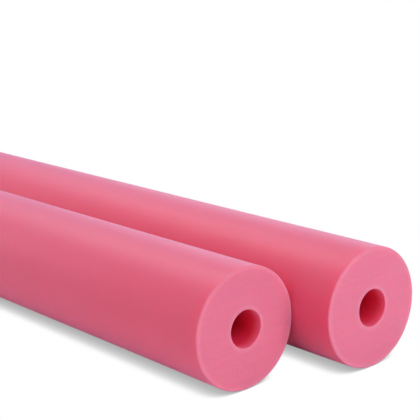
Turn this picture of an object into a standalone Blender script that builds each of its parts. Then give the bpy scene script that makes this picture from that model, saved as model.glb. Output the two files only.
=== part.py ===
"""A pair of extra-thick pool noodles, lying side by side on the floor.

Each noodle is one length of extruded polyethylene foam: a thick-walled tube, cut off
square at both ends, with a bore right through it. Metres, +Z up, the noodles along X.
The origin is on the floor, midway between the two noodles and midway along the pair.
"""

from math import cos, pi, sin

import bpy

# Driving sizes
noodle_diameter = 0.0889
noodle_length = 1.397
bore_diameter = 0.0272
rim_radius = 0.0016
lip_radius = 0.0010

# How the pair lies: the rear noodle's near end stands forward of the front one's
touching_gap = 0.0003
rear_lead = 0.0355

# Facets around a noodle, a multiple of four, and along one rounded corner
facets_around = 96
facets_per_rim = 4
facets_per_lip = 3

# Points nearer together than this are one point, where a full turn meets its own start
seam_tolerance = 0.00001

foam_colour = (0.80, 0.20, 0.31, 1.0)
foam_roughness = 0.75

# The facets have flats facing down and sideways, so a noodle's reach to its flats is
# a little less than its radius
noodle_radius = noodle_diameter / 2
bore_radius = bore_diameter / 2
half_facet = pi / facets_around
reach_to_flat = noodle_radius * cos(half_facet)


def clear_scene():
    for obj in list(bpy.data.objects):
        bpy.data.objects.remove(obj, do_unlink=True)


def make_collection(name):
    collection = bpy.data.collections.new(name)
    bpy.context.scene.collection.children.link(collection)
    return collection


def foam_material():
    material = bpy.data.materials.new("pink_foam")
    material.use_nodes = True
    shader = material.node_tree.nodes["Principled BSDF"]
    shader.inputs["Base Color"].default_value = foam_colour
    shader.inputs["Roughness"].default_value = foam_roughness
    shader.inputs["Metallic"].default_value = 0.0
    material.diffuse_color = foam_colour
    return material


def rounded_corner(radius_at, height_at, corner_radius, start, steps):
    """A quarter turn, clockwise from the angle start, about a corner's own centre."""
    angles = [start - step / steps * pi / 2 for step in range(steps + 1)]
    return [
        (radius_at + corner_radius * cos(angle), height_at + corner_radius * sin(angle))
        for angle in angles
    ]


def tube_wall_section():
    """The wall cut lengthwise, as (distance from the axis, height along it).

    It runs down the outer skin, in across the lower cut face, up the bore and back
    out across the upper one. The skin turns into each cut face by the rim radius, and
    the bore by the lip radius.
    """
    half_length = noodle_length / 2
    rim_at = noodle_radius - rim_radius
    lip_at = bore_radius + lip_radius
    upper_rim = rounded_corner(rim_at, half_length - rim_radius, rim_radius, pi / 2, facets_per_rim)
    lower_rim = rounded_corner(rim_at, rim_radius - half_length, rim_radius, 0, facets_per_rim)
    lower_lip = rounded_corner(lip_at, lip_radius - half_length, lip_radius, -pi / 2, facets_per_lip)
    upper_lip = rounded_corner(lip_at, half_length - lip_radius, lip_radius, -pi, facets_per_lip)
    return upper_rim + lower_rim + lower_lip + upper_lip


def noodle_mesh():
    """The wall's section as a closed loop of edges, half a facet round from local +X."""
    section = tube_wall_section()
    points = [(out * cos(half_facet), out * sin(half_facet), along) for out, along in section]
    edges = [(index, (index + 1) % len(points)) for index in range(len(points))]
    mesh = bpy.data.meshes.new("noodle_wall_section")
    mesh.from_pydata(points, edges, [])
    return mesh


def add_noodle(name, mesh, material, collection, pair, along, across):
    """One noodle, turned about its own Z, which is then laid along the world's X."""
    noodle = bpy.data.objects.new(name, mesh)
    collection.objects.link(noodle)
    noodle.parent = pair
    noodle.location = (along, across, reach_to_flat)
    noodle.rotation_euler = (0, pi / 2, 0)
    noodle.data.materials.append(material)
    turn = noodle.modifiers.new("turn_the_wall", "SCREW")
    turn.axis = "Z"
    turn.angle = 2 * pi
    turn.steps = facets_around
    turn.render_steps = facets_around
    turn.use_merge_vertices = True
    turn.merge_threshold = seam_tolerance
    turn.use_smooth_shade = True
    return noodle


def build():
    clear_scene()
    collection = make_collection("pool_noodle_pair")
    pair = bpy.data.objects.new("pair_on_the_floor", None)
    collection.objects.link(pair)
    material = foam_material()
    aside = reach_to_flat + touching_gap / 2
    for name, side in (("front_noodle", -1), ("rear_noodle", 1)):
        add_noodle(name, noodle_mesh(), material, collection, pair, side * rear_lead / 2, side * aside)


build()
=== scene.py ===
from math import pi, radians

import bmesh
import bpy
from mathutils import Matrix, Vector, noise


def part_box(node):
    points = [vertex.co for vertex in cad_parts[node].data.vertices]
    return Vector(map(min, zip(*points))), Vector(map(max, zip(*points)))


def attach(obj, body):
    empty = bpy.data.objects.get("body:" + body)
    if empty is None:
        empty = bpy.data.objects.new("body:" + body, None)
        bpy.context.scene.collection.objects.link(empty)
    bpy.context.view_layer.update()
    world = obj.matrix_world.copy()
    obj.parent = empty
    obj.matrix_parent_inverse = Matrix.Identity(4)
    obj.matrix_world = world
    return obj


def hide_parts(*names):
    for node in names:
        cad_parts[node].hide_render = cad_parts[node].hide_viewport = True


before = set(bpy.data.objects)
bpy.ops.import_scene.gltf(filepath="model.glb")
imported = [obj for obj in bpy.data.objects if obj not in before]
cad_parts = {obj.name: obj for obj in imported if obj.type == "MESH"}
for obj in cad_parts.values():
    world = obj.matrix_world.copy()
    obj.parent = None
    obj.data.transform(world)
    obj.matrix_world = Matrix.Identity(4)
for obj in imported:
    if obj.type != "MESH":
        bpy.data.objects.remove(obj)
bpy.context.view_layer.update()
print("frame loaded:", ", ".join(sorted(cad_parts)))


def collectionFor(name):
    made = bpy.data.collections.new(name)
    bpy.context.scene.collection.children.link(made)
    return made


noodleCollection = collectionFor("foam noodles")
studioCollection = collectionFor("studio")


# Camera, set from the photograph: its place is given from the centre of the front
# noodle's near end face, and a turn of 0 looks along +X
photoCamera = {
    "fromFrontEnd": Vector((0.5756, -0.5152, 0.2906)),  # metres
    "turn": 139.73,  # degrees about Z
    "tip": 14.87,  # degrees down
    "roll": 2.704,  # degrees
    "lens": 102.7,  # mm
    "sensor": 36.0,  # mm across
    "seesTo": 60.0,  # metres, past the floor's corners
}


def makePhotoCamera(settings):
    low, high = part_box("front_noodle")
    endCentre = Vector((high.x, (low.y + high.y) / 2, (low.z + high.z) / 2))
    data = bpy.data.cameras.new("photoCamera")
    data.lens = settings["lens"]
    data.sensor_width = settings["sensor"]
    data.clip_end = settings["seesTo"]
    camera = bpy.data.objects.new("photoCamera", data)
    studioCollection.objects.link(camera)
    turn = Matrix.Rotation(radians(settings["turn"] - 90.0), 4, "Z")
    tip = Matrix.Rotation(radians(90.0 - settings["tip"]), 4, "X")
    roll = Matrix.Rotation(radians(-settings["roll"]), 4, "Z")
    place = Matrix.Translation(endCentre + settings["fromFrontEnd"])
    camera.matrix_world = place @ turn @ tip @ roll
    bpy.context.scene.camera = camera


makePhotoCamera(photoCamera)
print("camera set")


# Foam: a smooth extruded skin and cut faces of open cells, with paler edges between them that are
# a painted highlight, told apart by attributes of each noodle's vertices. The bore is duller, its
# colour deeper with painted shade that is deepest well inside, and its paler mouth is painted
# light
foamLook = {
    "skinColour": (0.935, 0.088, 0.186, 1.0),
    # paler edges: a painted highlight, where the rounded rim and lip catch the light
    "cutColour": (0.800, 0.180, 0.293, 1.0),
    "edgeLightColour": (0.83, 0.226, 0.345, 1.0),
    "scatterRadius": (1.0, 0.15, 0.25),
    "scatterScale": 0.006,  # metres
    "gloss": 0.51,
    "sheen": 0.42,
    "sheenTint": (0.625, 0.575, 1.0, 1.0),
    "sheenRoughness": 0.5,
    "scatter": 1.0,  # all the light that isn't glossed off goes through the foam
    "skinRoughness": (0.44, 0.56),
    "cutRoughness": (0.78, 0.92),
    "cellsPerMetre": 900.0,
    "fineCellsPerMetre": 2100.0,
    "wallWidth": 0.32,  # of the walls between the cells, as a share of a cell
    "fineWallWidth": 0.36,
    "fineShare": 0.35,  # how much the fine cells count, against the coarse ones
    "cellShade": 0.06,
    "peelPerMetre": 400.0,  # the skin's orange peel
    "peelDetail": 3.0,
    "peelRoughness": 0.55,
    "dieLinesPerMetre": 520.0,
    "dieLinesStretch": 0.012,  # how often a die line changes along the noodle, against across it
    "dieLineDetail": 2.0,
    "dieLineShare": 0.45,  # how much the die lines count, against the orange peel
    "skinShade": 0.015,
    "cloudsPerMetre": 13.0,  # slow lighter and darker clouds in the colour
    "cloudDetail": 4.0,
    "cloudRoughness": 0.6,
    "cloudDepth": 0.035,
    "streaksPerMetre": 330.0,  # where the knife has dragged across the cut
    "streakStretch": 0.05,  # along the cut, against across it
    "streakDetail": 2.0,
    "streakDepth": 0.02,
    "bumpHeight": 0.00022,  # metres
    "bumpStrength": 0.6,
    "skinBump": 0.5,  # the skin's relief, against the cut face's
}
boreLook = foamLook | {
    # deeper and redder than the skin's colour: painted shade for the inside of the bore
    "skinColour": (0.96, 0.046, 0.125, 1.0),
    # painted shade, deepest well inside the bore
    "deepShadeColour": (0.74, 0.030, 0.090, 1.0),
    # the bore's paler mouth: painted light, brightest at its end
    "edgeLightColour": (1.0, 0.185, 0.330, 1.0),
    "scatterScale": 0.012,
    "gloss": 0.05,
    "sheen": 0.0,
}
noiseRange = (0.3, 0.7)  # nearly all that a noise texture gives lies in here


def addNode(tree, kind, inputs, **settings):
    made = tree.nodes.new(kind)
    for name, value in settings.items():
        setattr(made, name, value)
    for key, value in inputs.items():
        if isinstance(value, bpy.types.NodeSocket):
            tree.links.new(value, made.inputs[key])
        else:
            made.inputs[key].default_value = value
    return made


def remap(tree, value, fromRange, toRange):
    ranged = addNode(tree, "ShaderNodeMapRange", {
        "Value": value, "From Min": fromRange[0], "From Max": fromRange[1],
        "To Min": toRange[0], "To Max": toRange[1],
    })
    return ranged.outputs["Result"]


def mixNumbers(tree, factor, first, second):
    mixed = addNode(tree, "ShaderNodeMix", {0: factor, 2: first, 3: second}, data_type="FLOAT")
    return mixed.outputs[0]


def mixColours(tree, factor, first, second):
    mixed = addNode(tree, "ShaderNodeMix", {0: factor, 6: first, 7: second}, data_type="RGBA")
    return mixed.outputs[2]


def attribute(tree, name):
    return addNode(tree, "ShaderNodeAttribute", {}, attribute_name=name).outputs["Fac"]


def cellPattern(tree, coords, look):
    # open cells: 1 on the walls between them, 0 in the pits, and each cell's own shade
    coarse = addNode(tree, "ShaderNodeTexVoronoi", {
        "Vector": coords, "Scale": look["cellsPerMetre"],
    }, feature="DISTANCE_TO_EDGE")
    fine = addNode(tree, "ShaderNodeTexVoronoi", {
        "Vector": coords, "Scale": look["fineCellsPerMetre"],
    }, feature="DISTANCE_TO_EDGE")
    shade = addNode(tree, "ShaderNodeTexVoronoi", {
        "Vector": coords, "Scale": look["cellsPerMetre"],
    }, feature="F1")
    coarseWalls = remap(tree, coarse.outputs["Distance"], (0.0, look["wallWidth"]), (1.0, 0.0))
    fineWalls = remap(tree, fine.outputs["Distance"], (0.0, look["fineWallWidth"]), (1.0, 0.0))
    walls = mixNumbers(tree, look["fineShare"], coarseWalls, fineWalls)
    return walls, remap(tree, shade.outputs["Color"], (0.0, 1.0), (-0.5, 0.5))


def skinPattern(tree, coords, look):
    # the extruded skin: a fine orange peel, and die lines along the noodle
    peel = addNode(tree, "ShaderNodeTexNoise", {
        "Vector": coords, "Scale": look["peelPerMetre"],
        "Detail": look["peelDetail"], "Roughness": look["peelRoughness"],
    })
    stretched = addNode(tree, "ShaderNodeMapping", {
        "Vector": coords, "Scale": (look["dieLinesStretch"], 1.0, 1.0),
    })
    lines = addNode(tree, "ShaderNodeTexNoise", {
        "Vector": stretched.outputs["Vector"], "Scale": look["dieLinesPerMetre"],
        "Detail": look["dieLineDetail"],
    })
    return mixNumbers(tree, look["dieLineShare"], peel.outputs["Fac"], lines.outputs["Fac"])


def evenly(depth):
    # as far down as up
    return -depth, depth


def cutStreaks(tree, coords, look):
    stretched = addNode(tree, "ShaderNodeMapping", {
        "Vector": coords, "Scale": (1.0, look["streakStretch"], 1.0),
    })
    streaks = addNode(tree, "ShaderNodeTexNoise", {
        "Vector": stretched.outputs["Vector"], "Scale": look["streaksPerMetre"],
        "Detail": look["streakDetail"],
    })
    return remap(tree, streaks.outputs["Fac"], noiseRange, evenly(look["streakDepth"]))


def foamMaterial(name, look):
    material = bpy.data.materials.new(name)
    material.use_nodes = True
    tree = material.node_tree
    coords = addNode(tree, "ShaderNodeTexCoord", {}).outputs["Object"]
    cut, edgeLight = attribute(tree, "cutShare"), attribute(tree, "edgeLightShare")
    walls, cellShade = cellPattern(tree, coords, look)
    grain = skinPattern(tree, coords, look)
    clouds = addNode(tree, "ShaderNodeTexNoise", {
        "Vector": coords, "Scale": look["cloudsPerMetre"],
        "Detail": look["cloudDetail"], "Roughness": look["cloudRoughness"],
    }).outputs["Fac"]

    # colour: skin or cut face, a painted highlight at the paler edges, clouded, with painted shade
    # in the darker pits of the cells
    skin = look["skinColour"]
    # painted shade, deepening inside the bore
    if "deepShadeColour" in look:
        skin = mixColours(tree, attribute(tree, "deepShadeShare"), skin, look["deepShadeColour"])
    colour = mixColours(tree, cut, skin, look["cutColour"])
    # painted highlight on the edges, and painted light at the bore's mouth
    colour = mixColours(tree, edgeLight, colour, look["edgeLightColour"])
    cloudShade = remap(tree, clouds, noiseRange, evenly(look["cloudDepth"]))
    # painted shade: the pits darker, the walls between them lighter
    paintedPitShade = remap(tree, walls, (0.0, 1.0), evenly(look["cellShade"]))
    openShade = addNode(tree, "ShaderNodeMath", {
        0: cellShade, 1: look["cellShade"], 2: paintedPitShade,
    }, operation="MULTIPLY_ADD").outputs[0]
    openShade = addNode(tree, "ShaderNodeMath", {
        0: openShade, 1: cutStreaks(tree, coords, look),
    }, operation="ADD").outputs[0]
    skinShade = remap(tree, grain, noiseRange, evenly(look["skinShade"]))
    surfaceShade = mixNumbers(tree, cut, skinShade, openShade)
    shade = addNode(tree, "ShaderNodeMath", {0: cloudShade, 1: surfaceShade}, operation="ADD")
    brightness = addNode(tree, "ShaderNodeMath", {0: shade.outputs[0], 1: 1.0}, operation="ADD")
    shaded = addNode(tree, "ShaderNodeHueSaturation", {
        "Color": colour, "Value": brightness.outputs[0],
    }).outputs["Color"]

    skinRoughness = remap(tree, grain, noiseRange, look["skinRoughness"])
    cutRoughness = remap(tree, walls, (0.0, 1.0), look["cutRoughness"])
    skinHeight = remap(tree, grain, (0.0, 1.0), (0.0, look["skinBump"]))
    height = mixNumbers(tree, cut, skinHeight, walls)
    bump = addNode(tree, "ShaderNodeBump", {
        "Height": height, "Strength": look["bumpStrength"], "Distance": look["bumpHeight"],
    })

    shader = tree.nodes["Principled BSDF"]
    for name, value in {
        "Specular IOR Level": look["gloss"],
        "Sheen Weight": look["sheen"],
        "Sheen Tint": look["sheenTint"],
        "Sheen Roughness": look["sheenRoughness"],
        "Subsurface Weight": look["scatter"],
        "Subsurface Radius": look["scatterRadius"],
        "Subsurface Scale": look["scatterScale"],
    }.items():
        shader.inputs[name].default_value = value
    tree.links.new(shaded, shader.inputs["Base Color"])
    tree.links.new(mixNumbers(tree, cut, skinRoughness, cutRoughness), shader.inputs["Roughness"])
    tree.links.new(bump.outputs["Normal"], shader.inputs["Normal"])
    return material


# The noodles
noodleShape = {
    "around": 320,
    "ringsAlong": 72,
    "ringsAcrossFace": 56,
    "ringsInBore": 32,
    "endRings": (  # more rings, this far from each end
        0.0016, 0.0024, 0.0034, 0.0048, 0.0068, 0.0095, 0.014, 0.020, 0.030,
    ),
    "boreDiameter": 0.0272,
    "rimRadius": 0.0015,
    "rimSegments": 8,
    "lipRadius": 0.0006,
    "lipSegments": 4,
    "cutTurn": (0.35, 0.95),  # all skin, and all cut, where the surface points this much along X
    "boreTurn": 0.75,  # and the bore's own material, with painted shade in its colour, ends where it points this much along X
    "edgeLightReach": (0.0014, 0.0040),  # painted highlight at full, and none at all, this far from an edge
    "edgeLightOnSkin": 0.5,  # how far that goes on the skin, against on the cut face
    "mouthLightReach": (0.0, 0.011),  # the same for the painted light at the bore's mouth, from its end
    "deepShadeReach": (0.009, 0.030),  # and where the bore's painted shade starts, and is deepest
    "swellFrom": (0.01, 0.12),  # the skin keeps true near the cut ends and swells fully past here
}

# Foam is never quite true: its skin swells and carries die lines, and the knife drifts
# across the cut faces and tears cells open. Depths go inwards; all in metres, but for the
# share of the cells' depth that stays whole
foamRelief = {
    "swell": {"depth": 0.00030, "width": (0.11, 0.028, 0.028)},
    "dieLines": {"depth": 0.00007, "width": (0.70, 0.0034, 0.0034)},
    "boreSwell": {"depth": 0.00035, "width": (0.05, 0.012, 0.012)},
    "knifeDrift": {"depth": 0.00028, "width": (1.0, 0.020, 0.016)},
    "knifeMarks": {"depth": 0.00008, "width": (1.0, 0.034, 0.0030)},
    "tornCells": {"depth": 0.00022, "width": (1.0, 0.0019, 0.0019), "whole": 0.6},
    "shift": Vector((3.1, 1.7, 2.3)),  # from one noodle's pattern to the next one's
}


def wallOutline(bm, shape, halfLength, outer):
    # the wall cut lengthwise above the axis: skin, near face, bore, far face
    inner = shape["boreDiameter"] / 2
    corners = [
        bm.verts.new((x, 0, reach))
        for x, reach in (
            (-halfLength, outer), (halfLength, outer), (halfLength, inner), (-halfLength, inner),
        )
    ]
    for corner, following in zip(corners, corners[1:] + corners[:1]):
        bm.edges.new((corner, following))
    for pair, radius, segments in (
        (corners[:2], shape["rimRadius"], shape["rimSegments"]),
        (corners[2:], shape["lipRadius"], shape["lipSegments"]),
    ):
        bmesh.ops.bevel(
            bm, geom=pair, offset=radius, segments=segments, profile=0.5,
            affect="VERTICES", material=-1,
        )
    longest = sorted(bm.edges, key=lambda edge: -edge.calc_length())
    sides, faces = longest[:2], longest[2:4]
    skin, bore = sorted(sides, key=lambda edge: -edge.verts[0].co.z)
    bmesh.ops.subdivide_edges(bm, edges=[skin], cuts=shape["ringsAlong"])
    bmesh.ops.subdivide_edges(bm, edges=[bore], cuts=shape["ringsInBore"])
    bmesh.ops.subdivide_edges(bm, edges=faces, cuts=shape["ringsAcrossFace"])
    for fromEnd in shape["endRings"]:
        for x in (fromEnd - halfLength, halfLength - fromEnd):
            bmesh.ops.bisect_plane(
                bm, geom=bm.verts[:] + bm.edges[:], plane_co=(x, 0, 0), plane_no=(1, 0, 0),
            )


def plainTube(shape, halfLength, outer):
    bm = bmesh.new()
    wallOutline(bm, shape, halfLength, outer)
    bmesh.ops.spin(
        bm, geom=bm.verts[:] + bm.edges[:], cent=(0, 0, 0), axis=(1, 0, 0),
        angle=2 * pi, steps=shape["around"], use_merge=True,
    )
    bmesh.ops.recalc_face_normals(bm, faces=bm.faces[:])
    for face in bm.faces:
        face.smooth = True
    return bm


def easeBetween(low, high, value):
    # 0 below low, 1 above high, and a smooth step between
    share = min(max((value - low) / (high - low), 0.0), 1.0)
    return share * share * (3.0 - 2.0 * share)


def unevenness(layer, point):
    # from 0 to the layer's depth, changing smoothly over its widths
    wide = Vector(point[i] / layer["width"][i] for i in range(3))
    return layer["depth"] * min(max(0.5 + 0.5 * noise.noise(wide), 0.0), 1.0)


def skinDepth(relief, point):
    return unevenness(relief["swell"], point) + unevenness(relief["dieLines"], point)


def cutDepth(relief, point):
    cells = relief["tornCells"]
    return (
        unevenness(relief["knifeDrift"], point)
        + unevenness(relief["knifeMarks"], point)
        + max(unevenness(cells, point) - cells["whole"] * cells["depth"], 0.0)
    )


def roughenFoam(bm, relief, shape, batch):
    # each noodle has its own unevenness, and keeps inside the plain tube
    bm.normal_update()
    for name in ("cutShare", "edgeLightShare", "deepShadeShare"):
        bm.verts.layers.float.new(name)
    cutShare, edgeLightShare, deepShadeShare = bm.verts.layers.float.values()
    halfLength = max(vert.co.x for vert in bm.verts)
    outer = max(vert.co.z for vert in bm.verts)
    inner = shape["boreDiameter"] / 2
    shift = relief["shift"] * batch
    moves = []
    for vert in bm.verts:
        cut = easeBetween(*shape["cutTurn"], abs(vert.normal.x))
        fromEnd = halfLength - abs(vert.co.x)
        reach = vert.co.yz.length
        inBore = reach < inner + shape["lipRadius"]
        toEdge = min(
            Vector((fromEnd / shape["edgeLightOnSkin"], reach - edge)).length
            for edge in (inner, outer)
        )
        vert[cutShare] = cut
        # paler edges: a painted highlight
        vert[edgeLightShare] = 1.0 - easeBetween(*shape["edgeLightReach"], toEdge)
        if inBore and cut < 1.0:
            # in the bore the same share is painted light at its mouth
            vert[edgeLightShare] = 1.0 - easeBetween(*shape["mouthLightReach"], fromEnd)
            # painted shade, deepening inside the bore
            vert[deepShadeShare] = easeBetween(*shape["deepShadeReach"], fromEnd)
        point = vert.co + shift
        if inBore:
            around = unevenness(relief["boreSwell"], point)
        else:
            around = skinDepth(relief, point) * easeBetween(*shape["swellFrom"], fromEnd)
        moves.append((vert, vert.normal * (around + cut * (cutDepth(relief, point) - around))))
    for vert, move in moves:
        vert.co -= move


def finishAndShadeBore(bm, shape):
    # the bore's own material, duller and with painted shade in its colour, starts where the lip
    # has turned inwards
    lipReach = shape["boreDiameter"] / 2 + shape["lipRadius"]
    for face in bm.faces:
        middle = face.calc_center_median()
        if middle.yz.length < lipReach and abs(face.normal.x) < shape["boreTurn"]:
            face.material_index = 1


def makeNoodle(name, node, tube, materials, batch):
    low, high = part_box(node)
    bm = tube.copy()
    roughenFoam(bm, foamRelief, noodleShape, batch)
    finishAndShadeBore(bm, noodleShape)
    bmesh.ops.translate(bm, verts=bm.verts[:], vec=(low + high) / 2)
    mesh = bpy.data.meshes.new(name)
    bm.to_mesh(mesh)
    bm.free()
    noodle = bpy.data.objects.new(name, mesh)
    noodleCollection.objects.link(noodle)
    for material in materials:
        mesh.materials.append(material)
    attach(noodle, "root")
    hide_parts(node)
    print(name, "made:", len(mesh.polygons), "faces")


foam = foamMaterial("pinkFoam", foamLook), foamMaterial("boreFoam", boreLook)
noodleLow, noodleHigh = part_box("front_noodle")
tube = plainTube(noodleShape, (noodleHigh.x - noodleLow.x) / 2, (noodleHigh.z - noodleLow.z) / 2)
print("plain tube turned")
makeNoodle("front_foam_tube", "front_noodle", tube, foam, 1)
makeNoodle("rear_foam_tube", "rear_noodle", tube, foam, 2)
tube.free()


# Floor and light
floorLook = {
    "reach": 40.0,  # metres, from the middle to each side
    "squares": 4,
    "colour": (0.85, 0.85, 0.85, 1.0),
    "roughness": 0.6,
    "shadowReach": 0.02,  # metres, how far the painted shadow looks for the noodles
    "fullyOpen": 0.456,  # the share of the sky from which a place on the floor looks white
    "curve": 1.76,
    "shades": (0.385, 1.0),  # painted shadow where closed in, and white where open
    "samples": 16,
}


def makeFloor(look):
    # it lights the foam as a plain pale floor, and the camera sees it glowing white, with soft
    # grey painted shadows where the noodles close it in
    bm = bmesh.new()
    squares = look["squares"]
    bmesh.ops.create_grid(bm, x_segments=squares, y_segments=squares, size=look["reach"])
    mesh = bpy.data.meshes.new("floor")
    bm.to_mesh(mesh)
    bm.free()
    floor = bpy.data.objects.new("floor", mesh)
    studioCollection.objects.link(floor)
    material = bpy.data.materials.new("paleFloor")
    material.use_nodes = True
    tree = material.node_tree
    shader = tree.nodes["Principled BSDF"]
    shader.inputs["Base Color"].default_value = look["colour"]
    shader.inputs["Roughness"].default_value = look["roughness"]
    # painted shadow: the glow the camera sees is dimmed where the noodles close in the floor's sky
    sky = addNode(tree, "ShaderNodeAmbientOcclusion", {
        "Distance": look["shadowReach"],
    }, samples=look["samples"])
    openness = remap(tree, sky.outputs["AO"], (0.0, look["fullyOpen"]), (0.0, 1.0))
    curved = addNode(tree, "ShaderNodeMath", {0: openness, 1: look["curve"]}, operation="POWER")
    shade = remap(tree, curved.outputs[0], (0.0, 1.0), look["shades"])
    white = addNode(tree, "ShaderNodeEmission", {"Strength": shade}).outputs["Emission"]
    seen = addNode(tree, "ShaderNodeLightPath", {}).outputs["Is Camera Ray"]
    shown = addNode(tree, "ShaderNodeMixShader", {
        0: seen, 1: shader.outputs["BSDF"], 2: white,
    })
    tree.links.new(shown.outputs["Shader"], tree.nodes["Material Output"].inputs["Surface"])
    mesh.materials.append(material)


makeFloor(floorLook)

studioLight = {
    "ambient": 0.40,
    "backdrop": 1.0,  # white
    "lamps": {  # places, aims and sizes in metres
        "highLeft": {
            "place": (-1.6, 0.3, 2.6), "aim": (0.3, 0.0, 0.0), "size": (1.6, 1.6), "watts": 34.1,
        },
        "lowBack": {
            "place": (-1.2, 2.6, 0.9), "aim": (0.3, 0.0, 0.0), "size": (2.4, 1.0), "watts": 13.3,
        },
        "leftSide": {
            "place": (0.2, -2.6, 0.7), "aim": (0.3, 0.0, 0.05), "size": (2.4, 1.0), "watts": 8.0,
        },
        "highFront": {
            "place": (2.6, 0.2, 1.6), "aim": (0.6, 0.0, 0.05), "size": (1.2, 1.2), "watts": 17.5,
        },
        "frontFill": {
            "place": (3.2, 0.5, 0.5), "aim": (0.6, 0.0, 0.05), "size": (1.4, 0.8), "watts": 17.4,
        },
        "farEnd": {
            "place": (-3.0, -0.5, 0.6), "aim": (0.3, 0.0, 0.05), "size": (1.4, 0.8), "watts": 18.5,
        },
    },
}


def makeLamp(name, settings):
    data = bpy.data.lights.new(name, "AREA")
    data.shape = "RECTANGLE"
    data.size, data.size_y = settings["size"]
    data.energy = settings["watts"]
    lamp = bpy.data.objects.new(name, data)
    studioCollection.objects.link(lamp)
    place = Vector(settings["place"])
    lamp.location = place
    lamp.rotation_euler = (Vector(settings["aim"]) - place).to_track_quat("-Z", "Y").to_euler()
    lamp.visible_camera = False


def makeStudio(settings):
    for name, lamp in settings["lamps"].items():
        makeLamp(name, lamp)
    world = bpy.data.worlds.new("studioWorld")
    bpy.context.scene.world = world
    world.use_nodes = True
    # even light all round, which the camera sees as white
    tree = world.node_tree
    background = tree.nodes["Background"]
    background.inputs["Color"].default_value = (1, 1, 1, 1)
    seen = addNode(tree, "ShaderNodeLightPath", {}).outputs["Is Camera Ray"]
    strength = mixNumbers(tree, seen, settings["ambient"], settings["backdrop"])
    tree.links.new(strength, background.inputs["Strength"])


makeStudio(studioLight)
bpy.context.scene.view_settings.view_transform = "Standard"
print("studio lit")
